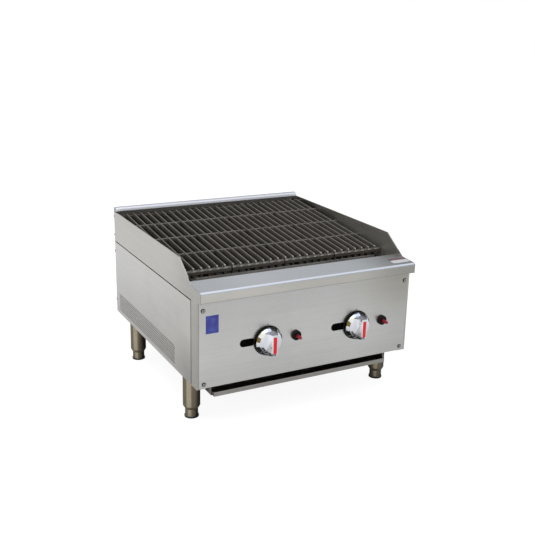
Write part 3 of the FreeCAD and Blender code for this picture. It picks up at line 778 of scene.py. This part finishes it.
@dataclass(frozen=True)
class PrintedLabel:
    """Printed foil without words: one colour with a cloudy lighter tint under a clear film."""

    colour: Colour
    tint: Colour

    def make(self, name: str) -> bpy.types.Material:
        """Returns the material under the given name."""
        s = Shading(name)
        cloud = s.noise(s.place(), scale=70.0, detail=2.0)
        skin = s.noise(s.place(), scale=900.0, detail=2.0)
        return s.surface(
            Base_Color=s.mix(cloud.between(0.45, 0.75), self.colour, self.tint),
            Roughness=cloud * 0.1 + 0.30,
            Coat_Weight=0.3,
            Normal=s.bump(skin, 0.01 * MM),
        )


FINISHES = {
    "brushed_stainless": BrushedSteel(
        (0.61, 0.595, 0.56),
        painted_falls=(
            # painted: below the roll the front faces turn a dull brown, partly heat tint and partly a tone
            # standing in for the reflection there
            PaintedFall("Z", 0.4215, 0.4205, 0.7, toward=FRONT, shade=(0.21, 0.19, 0.16), dull=0.9),
            # painted sky reflection: the roll's front face turns bluish white and loses its mirror
            PaintedFall("Z", 0.4205, 0.4215, 0.9, toward=FRONT, shade=(0.84, 0.86, 0.92), dull=0.9),
        ),
        # painted sky reflection on the faces that look up
        upper=(0.60, 0.62, 0.67),
    ),
    "side_stainless": BrushedSteel(
        (0.60, 0.585, 0.545),
        Grain.DEPTH,
        painted_falls=(
            # painted reflection of the floor: darker toward the bottom, most of all near the front
            PaintedFall("Z", 0.25, 0.12, 0.28, beside=("Y", -0.12, -0.26)),
            PaintedFall("Z", 0.26, 0.12, 0.06),
        ),
    ),
    "guard_stainless": BrushedSteel(
        (0.525, 0.505, 0.46),
        Grain.DEPTH,
        painted_falls=(
            # painted reflection: darker toward the front
            PaintedFall("Y", -0.12, -0.25, 0.12),
            # painted dark reflection of the grates: the right guard's inner face turns dull brown toward the
            # front
            PaintedFall("Y", 0.30, -0.28, 0.20, LEFT, beside=("X", 0.1, 0.2), shade=(0.15, 0.13, 0.09), dull=0.9),
        ),
    ),
    "panel_stainless": BrushedSteel(
        (0.655, 0.652, 0.622),
        painted_falls=(
            # painted reflection and shade: darker toward the right and the top, browner at the upper right
            PaintedFall("X", 0.14, 0.30, 0.15),
            PaintedFall("Z", 0.18, 0.36, 0.20),
            PaintedFall("X", 0.04, 0.30, 0.42, beside=("Z", 0.17, 0.33), shade=(0.24, 0.205, 0.13)),
        ),
    ),
    "ledge_stainless": BrushedSteel(
        (0.57, 0.555, 0.505),
        painted_falls=(
            # painted reflection: darker toward the right end, the front face a little and the top more, and
            # the top also toward the left end
            PaintedFall("X", -0.20, 0.06, 0.10, toward=FRONT),
            PaintedFall("X", 0.10, 0.28, 0.34),
            PaintedFall("X", 0.16, 0.30, 0.24, toward=UP),
            PaintedFall("X", -0.12, -0.30, 0.14, toward=UP),
        ),
        # painted sky reflection on the slope
        upper=(0.575, 0.595, 0.605),
        # painted highlight on the rounded front nose
        glint=(0.68, 0.71, 0.76),
    ),
    "frame_steel": BrushedSteel((0.42, 0.42, 0.41), roughness=0.42),
    "firebox_steel": HeatedSteel((0.16, 0.14, 0.12), (0.012, 0.010, 0.009), soot=0.85),
    "support_steel": HeatedSteel((0.30, 0.285, 0.265), (0.04, 0.035, 0.03), soot=0.35),
    "cast_iron": CastIron(),
    "radiant_steel": HeatedSteel((0.24, 0.20, 0.17), (0.02, 0.017, 0.015), soot=0.6),
    "burner_steel": HeatedSteel((0.40, 0.38, 0.35), (0.10, 0.09, 0.08), soot=0.4),
    "black_pipe": HeatedSteel((0.07, 0.07, 0.07), (0.02, 0.02, 0.02), soot=0.5),
    "brass": TurnedMetal((0.72, 0.55, 0.26), roughness=0.28),
    "aluminium_tube": PlatedMetal((0.78, 0.79, 0.80), roughness=0.30),
    "ceramic": MouldedPlastic((0.86, 0.84, 0.78), roughness=0.25, coat=0.4),
    "lead_jacket": MouldedPlastic((0.50, 0.08, 0.05), roughness=0.50),
    "black_plastic": MouldedPlastic((0.006, 0.006, 0.006), roughness=0.30, shine=0.12),
    "red_button": MouldedPlastic((0.32, 0.012, 0.024), roughness=0.28, shine=0.4),
    "red_pointer": MouldedPlastic((0.76, 0.020, 0.020), roughness=0.35, shine=0.25),
    "knob_chrome": BrightChrome(),
    "screw_steel": ScrewSteel(),
    # painted shade: darker than the other stainless, standing in for the shade under the body
    "tray_steel": BrushedSteel((0.385, 0.37, 0.34)),
    "leg_nickel": LegNickel(),
    "blank_badge": PrintedLabel((0.018, 0.026, 0.24), (0.045, 0.060, 0.33)),
    "blank_label": PrintedLabel((0.44, 0.44, 0.45), (0.54, 0.53, 0.54)),
    "label_stripe": PrintedLabel((0.060, 0.008, 0.016), (0.13, 0.022, 0.034)),
    "index_mark": MouldedPlastic((0.05, 0.05, 0.05), roughness=0.5),
    "toe_rubber": MouldedPlastic((0.010, 0.010, 0.010), roughness=0.55),
}


# ---------------------------------------------------------------- workshop
class Workshop:
    """Hands out finishes by material slot, dresses CAD nodes and registers new pieces.

    Edges that turn more than CREASE are shaded sharp, and those above SHARP are rounded. Points
    nearer than WELD are joined, and faces within FLAT of each other count as one face.
    """

    CREASE = math.radians(35)
    SHARP = math.radians(30)
    FLAT = math.radians(0.5)
    WELD = 0.001 * MM

    def __init__(self, loaded: dict) -> None:
        """Reads the record's slots.
        """
        self.nodes = loaded["nodes"]
        self.slots = {row["node"]: row["material_slot"] for row in loaded["record"]["subparts"]}
        bodies = loaded["record"]["behaviour"]["bodies"]
        self.body_of = {node: body for body, members in bodies.items() for node in members}
        self.made: dict[str, bpy.types.Material] = {}

    def material(self, slot: str) -> bpy.types.Material:
        """Returns the material of a slot, made once."""
        if slot not in self.made:
            self.made[slot] = FINISHES[slot].make(slot)
        return self.made[slot]

    def dress(self, *nodes: str) -> None:
        """Puts the finish of its slot on each CAD node."""
        for node in nodes:
            material = self.material(self.slots[node])
            for slot in self.nodes[node].material_slots:
                slot.material = material

    def add(self, name: str, mesh: bmesh.types.BMesh, body: str, slot: str) -> bpy.types.Object:
        """Turns a finished bmesh into a piece that rides on a body.

        Args:
            name: The piece's name.
            mesh: Its mesh, in the row frame; it is freed.
            body: The CAD body it moves with.
            slot: The material slot it takes its finish from.

        Returns:
            The new piece.
        """
        data = bpy.data.meshes.new(name)
        mesh.to_mesh(data)
        mesh.free()
        data.shade_smooth()
        data.set_sharp_from_angle(angle=self.CREASE)
        piece = bpy.data.objects.new(name, data)
        bpy.context.scene.collection.objects.link(piece)
        data.materials.append(self.material(slot))
        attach(piece, body)
        log.info("piece %s: %d faces on %s", name, len(data.polygons), body)
        return piece

    def sheet_piece(
        self, name: str, corners: list[Vector], lift: Vector, body: str, slot: str
    ) -> bpy.types.Object:
        """Adds a thin flat plate.

        Args:
            name: The piece's name.
            corners: Its outline on the surface it lies on, in order.
            lift: How thick it is, as a vector away from that surface.
            body: The CAD body it moves with.
            slot: The finish.

        Returns:
            The new piece.
        """
        mesh = bmesh.new()
        low = [mesh.verts.new(corner) for corner in corners]
        high = [mesh.verts.new(corner + lift) for corner in corners]
        mesh.faces.new(low[::-1])
        mesh.faces.new(high)
        for i in range(len(low)):
            j = (i + 1) % len(low)
            mesh.faces.new((low[i], low[j], high[j], high[i]))
        bmesh.ops.recalc_face_normals(mesh, faces=mesh.faces)
        return self.add(name, mesh, body, slot)

    def softened(self, node: str, width: float, segments: int = 2) -> bpy.types.Object:
        """Replaces a CAD node by a copy with its sharp edges rounded.

        Args:
            node: The CAD node.
            width: How far each rounding reaches, in metres.
            segments: How many faces go round each edge.

        Returns:
            The new piece.
        """
        mesh = bmesh.new()
        mesh.from_mesh(self.nodes[node].data)
        bmesh.ops.remove_doubles(mesh, verts=mesh.verts, dist=self.WELD)
        bmesh.ops.dissolve_limit(
            mesh,
            angle_limit=self.FLAT,
            verts=mesh.verts,
            edges=mesh.edges,
            use_dissolve_boundaries=False,
        )
        sharp = [e for e in mesh.edges if e.is_manifold and e.calc_face_angle(0.0) > self.SHARP]
        bmesh.ops.bevel(
            mesh, geom=sharp, offset=width, segments=segments, profile=0.5, affect="EDGES", clamp_overlap=True
        )
        piece = self.add(f"{node}_look", mesh, self.body_of[node], self.slots[node])
        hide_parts(node)
        return piece


# ---------------------------------------------------------------- sub-assemblies
def rounded(
    centre: tuple[float, float], half: tuple[float, float], radius: float, steps: int = 5
) -> list[tuple[float, float]]:
    """Gives the outline of a rectangle with round corners.

    Args:
        centre: Its middle.
        half: Half its width and half its height.
        radius: The corners' radius.
        steps: How many points each corner has.

    Returns:
        The points, in order.
    """
    points = []
    for corner, (x, y) in enumerate(((1, 1), (-1, 1), (-1, -1), (1, -1))):
        for step in range(steps):
            angle = math.radians(90 * corner + 90 * step / (steps - 1))
            across = centre[0] + x * (half[0] - radius) + radius * math.cos(angle)
            points.append((across, centre[1] + y * (half[1] - radius) + radius * math.sin(angle)))
    return points


@dataclass
class Casing:
    """Outer sheets, ledge and screws, with the blank badge and label and the index dots.

    Attributes:
        shop: Where finishes and pieces are made.
        badge_middle: The badge's place across the panel and its height.
        badge_half: Half its width and half its height.
        badge_corner: The radius of its corners.
        label_span: The label's ends across the ledge.
        label_share: Where it begins and ends up the ledge's slope, as shares of it.
        stripe_share: The same for the stripe on the label.
        film: How thick the badge and labels are.
        dot_radius: The index dots' radius.
        dot_rise: How far above its knob a dot sits.
    """

    shop: Workshop
    badge_middle: tuple[float, float] = (-0.2655, 0.2755)
    badge_half: tuple[float, float] = (0.0165, 0.0225)
    badge_corner: float = 0.6 * MM
    label_span: tuple[float, float] = (0.249, 0.301)
    label_share: tuple[float, float] = (0.16, 0.58)
    stripe_share: tuple[float, float] = (0.43, 0.58)
    film: float = 0.25 * MM
    dot_radius: float = 1.6 * MM
    dot_rise: float = 5.5 * MM

    def build(self) -> None:
        """Dresses the sheets and sticks on the blanks."""
        self._badge()
        self._label()
        self._dots()
        self.shop.dress(
            "left_side_guard", "right_side_guard", "left_side_panel", "right_side_panel", "back_panel",
            "control_panel", "front_ledge", "casing_screws", "front_base_rail", "rear_base_rail",
            "left_base_rail", "right_base_rail",
        )

    def _badge(self) -> None:
        """Sticks the plain blue badge on the panel."""
        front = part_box("control_panel")[0][1]
        outline = rounded(self.badge_middle, self.badge_half, self.badge_corner)
        corners = [Vector((x, front, z)) for x, z in outline]
        self.shop.sheet_piece("panel_badge", corners, Vector((0, -self.film, 0)), "casing", "blank_badge")

    def _label(self) -> None:
        """Sticks a blank label with a dark red stripe on the right end of the ledge's slope."""
        mesh = self.shop.nodes["front_ledge"].data
        # the slope is the largest face that looks up
        slope = max((face for face in mesh.polygons if face.normal.z > 0.9), key=lambda face: face.area)
        edge = sorted((mesh.vertices[i].co for i in slope.vertices), key=lambda point: point.y)
        front, rear = edge[0], edge[-1]
        along = Vector((0, rear.y - front.y, rear.z - front.z))
        up = Vector((0, -along.z, along.y)).normalized() * self.film

        def strip(name: str, share: tuple[float, float], lift: Vector, slot: str) -> None:
            """Sticks one strip between two shares of the slope."""
            near, far = (Vector((0, front.y, front.z)) + along * s for s in share)
            low, high = (Vector((x, 0, 0)) for x in self.label_span)
            corners = [near + low, near + high, far + high, far + low]
            self.shop.sheet_piece(name, [c + lift for c in corners], up, "casing", slot)

        strip("ledge_label", self.label_share, Vector(), "blank_label")
        strip("ledge_label_stripe", self.stripe_share, up, "label_stripe")

    def _dots(self) -> None:
        """Prints one small index dot above each knob."""
        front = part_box("control_panel")[0][1]
        for side in ("left", "right"):
            knob = f"{side}_knob"
            middle = (node_middle(knob).x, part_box(knob)[1].z + self.dot_rise)
            outline = rounded(middle, (self.dot_radius, self.dot_radius), self.dot_radius * 0.98)
            corners = [Vector((x, front, z)) for x, z in outline]
            lift = Vector((0, -self.film / 2, 0))
            self.shop.sheet_piece(f"{side}_index_dot", corners, lift, "casing", "index_mark")


@dataclass
class Firebox:
    """Walls, supports, radiants and burners under the grates."""

    shop: Workshop

    def build(self) -> None:
        """Dresses the heat-darkened parts."""
        walls = [f"firebox_{side}_wall" for side in ("front", "rear", "left", "right")]
        radiants = [f"radiant_{i}" for i in range(1, 5)]
        burners = ["left_burner", "right_burner", "left_pilot_burner", "right_pilot_burner"]
        self.shop.dress(*walls, *radiants, *burners, "front_grate_support", "rear_grate_support")


@dataclass
class Grates:
    """The row of loose cast grates."""

    shop: Workshop
    count: int = 4

    def build(self) -> None:
        """Dresses the grates."""
        self.shop.dress(*[f"grate_{i}" for i in range(1, self.count + 1)])


@dataclass
class GasTrain:
    """Pipes, valves, jets and ignition behind the panel."""

    shop: Workshop

    def build(self) -> None:
        """Dresses the gas parts."""
        self.shop.dress(
            "manifold_pipe", "gas_supply_pipe", "left_gas_valve", "right_gas_valve", "main_orifices",
            "pilot_gas_tubes", "spark_electrodes", "ignition_leads",
        )


@dataclass
class Controls:
    """Knobs and igniters on the panel."""

    shop: Workshop
    knob_edge: float = 0.6 * MM

    def build(self) -> None:
        """Dresses the controls and rounds the knobs."""
        self.shop.dress("knob_bezels")
        for side in ("left", "right"):
            self.shop.dress(
                f"{side}_igniter_body", f"{side}_igniter_button", f"{side}_valve_stem", f"{side}_knob_pointer"
            )
            self.shop.softened(f"{side}_knob", self.knob_edge)


@dataclass
class TrayAndLegs:
    """Drip tray with its rails, and the four levelling legs.

    Attributes:
        shop: Where finishes and pieces are made.
        toe_steps: How many sides a rubber toe has.
        toe_gap: The gap between a toe and its foot.
        toe_wall: How thick a toe is.
        toe_heights: Its section's four heights, up the outside from the floor.
    """

    shop: Workshop
    toe_steps: int = 64
    toe_gap: float = 0.05 * MM
    toe_wall: float = 0.8 * MM
    toe_heights: tuple[float, float, float, float] = (0.0, 0.3 * MM, 4.2 * MM, 4.8 * MM)

    def build(self) -> None:
        """Dresses the tray, rails, legs and feet."""
        self.shop.dress("drip_tray", "left_tray_rail", "right_tray_rail")
        for end in ("front", "rear"):
            for side in ("left", "right"):
                self.shop.dress(f"{end}_{side}_leg", f"{end}_{side}_foot")
                self._toe(f"{end}_{side}_foot")

    def _toe(self, foot: str) -> None:
        """Puts a black rubber ring round the bottom of a foot."""
        low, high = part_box(foot)
        middle = Vector(((low[0] + high[0]) / 2, (low[1] + high[1]) / 2, low[2]))
        inner = (high[0] - low[0]) / 2 + self.toe_gap
        outer = inner + self.toe_wall
        section = list(zip((inner, outer, outer, inner), self.toe_heights))
        mesh = bmesh.new()
        rings = []
        for step in range(self.toe_steps):
            angle = math.tau * step / self.toe_steps
            around = Vector((math.cos(angle), math.sin(angle), 0.0))
            rings.append([mesh.verts.new(middle + around * r + Vector((0, 0, h))) for r, h in section])
        for i, ring in enumerate(rings):
            after = rings[(i + 1) % self.toe_steps]
            for j in range(len(section)):
                k = (j + 1) % len(section)
                mesh.faces.new((ring[j], after[j], after[k], ring[k]))
        bmesh.ops.recalc_face_normals(mesh, faces=mesh.faces)
        self.shop.add(f"{foot}_toe", mesh, self.shop.body_of[foot], "toe_rubber")


# ---------------------------------------------------------------- studio
@dataclass
class Studio:
    """Pale floor, soft light and the viewing position.

    Attributes:
        azimuth: Degrees that the view is turned to the left of the front.
        elevation: Degrees that the camera looks down.
        roll: Degrees that the camera is tilted.
        distance: From the camera to the target.
        lens: Its focal length in millimetres.
        sensor: Its sensor's width in millimetres.
        target: What it looks at.
        floor_half: Half the floor's side.
        paper: The floor's darkest and palest tones.
        shown: The floor's own tone and its glow, as the camera sees them: an even pale ground.
        dim_near: The floor as shiny metal sees it, close to the object, darkened as painted shade.
        dim_far: The same, far from it.
        dim_reach: How far from the middle the two apply.
        sky: The light from above.
        left_wall: The light from the left.
        right_wall: The light from the right.
        lamp_size: The overhead light's two sides.
        lamp_power: Its power in watts.
        lamp_place: Where it hangs.
        lamp_target: What it points at.
    """

    azimuth: float = 28.1
    elevation: float = 16.933
    roll: float = 1.301
    distance: float = 2.2817
    lens: float = 54.53
    sensor: float = 36.0
    target: Triple = (0.0365, 0.0, 0.2951)
    floor_half: float = 20.0
    paper: tuple[Colour, Colour] = (grey(0.84), grey(0.88))
    shown: tuple[Colour, Colour] = (grey(0.16), grey(0.90))
    dim_near: Colour = grey(0.56)
    dim_far: Colour = grey(0.86)
    dim_reach: tuple[float, float] = (0.4, 1.8)
    sky: Colour = (0.98, 1.0, 1.05)
    left_wall: Colour = (0.95, 0.95, 0.96)
    right_wall: Colour = grey(0.22)
    lamp_size: tuple[float, float] = (2.0, 1.6)
    lamp_power: float = 25.0
    lamp_place: Triple = (-0.8, -0.4, 2.4)
    lamp_target: Triple = (0.0, 0.0, 0.3)

    def build(self) -> None:
        """Makes the floor, the surrounding light, the overhead light and the camera."""
        self._floor()
        self._surroundings()
        self._overhead()
        self._camera()
        bpy.context.scene.view_settings.view_transform = "Standard"

    def _floor(self) -> None:
        """Lays the floor at the height of the feet."""
        mesh = bmesh.new()
        bmesh.ops.create_grid(mesh, x_segments=1, y_segments=1, size=self.floor_half)
        data = bpy.data.meshes.new("floor")
        mesh.to_mesh(data)
        mesh.free()
        floor = bpy.data.objects.new("floor", data)
        bpy.context.scene.collection.objects.link(floor)
        data.materials.append(self._paper())

    def _paper(self) -> bpy.types.Material:
        """Returns the floor's pale paper, which shiny metal sees dimmer close to the object, as painted
        shade.
        """
        s = Shading("floor_paper")
        tooth = s.noise(s.place(), scale=400.0, detail=2.0)
        away = s.node("ShaderNodeVectorMath", {"operation": "LENGTH"}, {0: s.place()}, "Value")
        # painted shade round the object, seen only in reflections
        dim = s.mix(away.between(*self.dim_reach), self.dim_near, self.dim_far)
        mirrored = s.node("ShaderNodeLightPath", {}, {}, "Is Glossy Ray")
        tone, glow = self.shown
        seen = s.mix(mirrored.other("Is Camera Ray"), s.mix(tooth, *self.paper), tone)
        return s.surface(
            Base_Color=s.mix(mirrored, seen, dim),
            Roughness=0.9,
            Emission_Color=s.mix(mirrored.other("Is Camera Ray"), BLACK, glow),
            Emission_Strength=1.0,
        )

    def _surroundings(self) -> None:
        """Surrounds the object with soft white light, a little dimmer near the horizon."""
        world = bpy.data.worlds.new("studio")
        bpy.context.scene.world = world
        world.use_nodes = True
        s = Nodes(world.node_tree)
        background = next(n for n in world.node_tree.nodes if n.type == "BACKGROUND")
        way = s.node("ShaderNodeTexCoord", {}, {}, "Generated")
        across = s.node("ShaderNodeSeparateXYZ", {}, {0: way}, "X")
        upward = across.other("Z")
        wall = s.mix(across.between(-0.2, 0.75), self.left_wall, self.right_wall)
        room = s.mix(upward.between(0.15, 0.75), wall, self.sky)
        seen = s.node("ShaderNodeLightPath", {}, {}, "Is Camera Ray")
        s.tree.links.new(s.mix(seen, room, grey(1.0)).socket, background.inputs["Color"])
        background.inputs["Strength"].default_value = 1.0

    def _overhead(self) -> None:
        """Hangs a large soft light above, a little to the left and in front."""
        light = bpy.data.lights.new("overhead", "AREA")
        light.shape = "RECTANGLE"
        light.size, light.size_y = self.lamp_size
        light.energy = self.lamp_power
        lamp = bpy.data.objects.new("overhead", light)
        bpy.context.scene.collection.objects.link(lamp)
        lamp.location = self.lamp_place
        aim = Vector(self.lamp_target) - lamp.location
        lamp.rotation_euler = aim.to_track_quat("-Z", "Y").to_euler()

    def _camera(self) -> None:
        """Sets the camera on its sphere round the target."""
        a, e, r = (math.radians(v) for v in (self.azimuth, self.elevation, self.roll))
        forward = Vector((math.sin(a) * math.cos(e), math.cos(a) * math.cos(e), -math.sin(e)))
        right = Vector((math.cos(a), -math.sin(a), 0.0))
        up = right.cross(forward)
        side = right * math.cos(r) + up * math.sin(r)
        top = up * math.cos(r) - right * math.sin(r)
        lens = bpy.data.cameras.new("camera")
        lens.lens = self.lens
        lens.sensor_width = self.sensor
        camera = bpy.data.objects.new("camera", lens)
        bpy.context.scene.collection.objects.link(camera)
        turn = Matrix((side, top, -forward)).transposed().to_4x4()
        camera.matrix_world = Matrix.Translation(Vector(self.target) - forward * self.distance) @ turn
        bpy.context.scene.camera = camera


def main() -> None:
    """Builds the studio and every sub-assembly in order, noting each as it is done."""
    logging.basicConfig(level=logging.INFO, format="%(message)s")
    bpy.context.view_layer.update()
    shop = Workshop(frame)
    Studio().build()
    for assembly in (Casing, Firebox, Grates, GasTrain, Controls, TrayAndLegs):
        assembly(shop).build()
        log.info("%s done", assembly.__name__)


if __name__ == "__main__":
    main()
